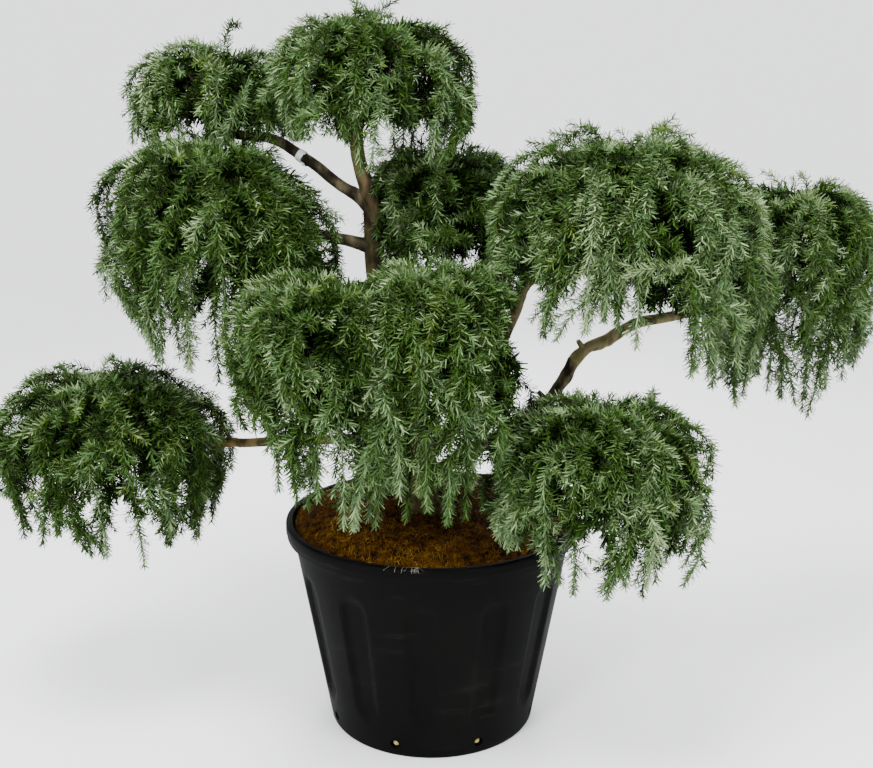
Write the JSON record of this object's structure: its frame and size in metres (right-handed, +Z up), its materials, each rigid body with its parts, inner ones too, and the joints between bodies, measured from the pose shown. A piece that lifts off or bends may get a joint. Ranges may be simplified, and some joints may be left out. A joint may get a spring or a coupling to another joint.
{
  "type": "deodar cedar",
  "caption": "Weeping deodar cedar pruned to separate shaggy pads on bare limbs along a leaning trunk, in a black fluted nursery pot of fibre-topped soil.",
  "frame": {"origin": "centre of the pot's flat underside", "axes": "+Z up; +X to the right of the front view, along the spread of the crown; +Y away from the front view"},
  "size_m": [2.0085, 0.9117, 1.607],
  "materials": {
    "pot_plastic": "satin moulded black plastic",
    "soil_fibre": "loose bark and coir fibre",
    "bark": "rough grey-brown bark",
    "needles": "dense sprays of waxy needles"
  },
  "bodies": {
    "root": {"bough_back": "bark", "bough_centre": "bark", "bough_far_right": "bark", "bough_front_left": "bark", "bough_front_right": "bark", "bough_lower_left": "bark", "bough_lower_right": "bark", "bough_mid_left": "bark", "bough_right": "bark", "bough_upper_left": "bark", "crown_back_1": "needles", "crown_back_2": "needles", "crown_back_3": "needles", "crown_centre_1": "needles", "crown_centre_2": "needles", "crown_centre_3": "needles", "crown_far_right_1": "needles", "crown_far_right_2": "needles", "crown_far_right_3": "needles", "crown_front_left_1": "needles", "crown_front_left_2": "needles", "crown_front_left_3": "needles", "crown_front_right_1": "needles", "crown_front_right_2": "needles", "crown_front_right_3": "needles", "crown_lower_left_1": "needles", "crown_lower_left_2": "needles", "crown_lower_left_3": "needles", "crown_lower_left_4": "needles", "crown_lower_right_1": "needles", "crown_lower_right_2": "needles", "crown_lower_right_3": "needles", "crown_mid_left_1": "needles", "crown_mid_left_2": "needles", "crown_mid_left_3": "needles", "crown_mid_left_4": "needles", "crown_right_1": "needles", "crown_right_2": "needles", "crown_right_3": "needles", "crown_right_4": "needles", "crown_right_5": "needles", "crown_top_1": "needles", "crown_top_2": "needles", "crown_top_3": "needles", "crown_top_4": "needles", "crown_upper_left_1": "needles", "crown_upper_left_2": "needles", "crown_upper_left_3": "needles", "pot": "pot_plastic", "soil": "soil_fibre", "trunk": "bark"}
  },
  "joints": []
}
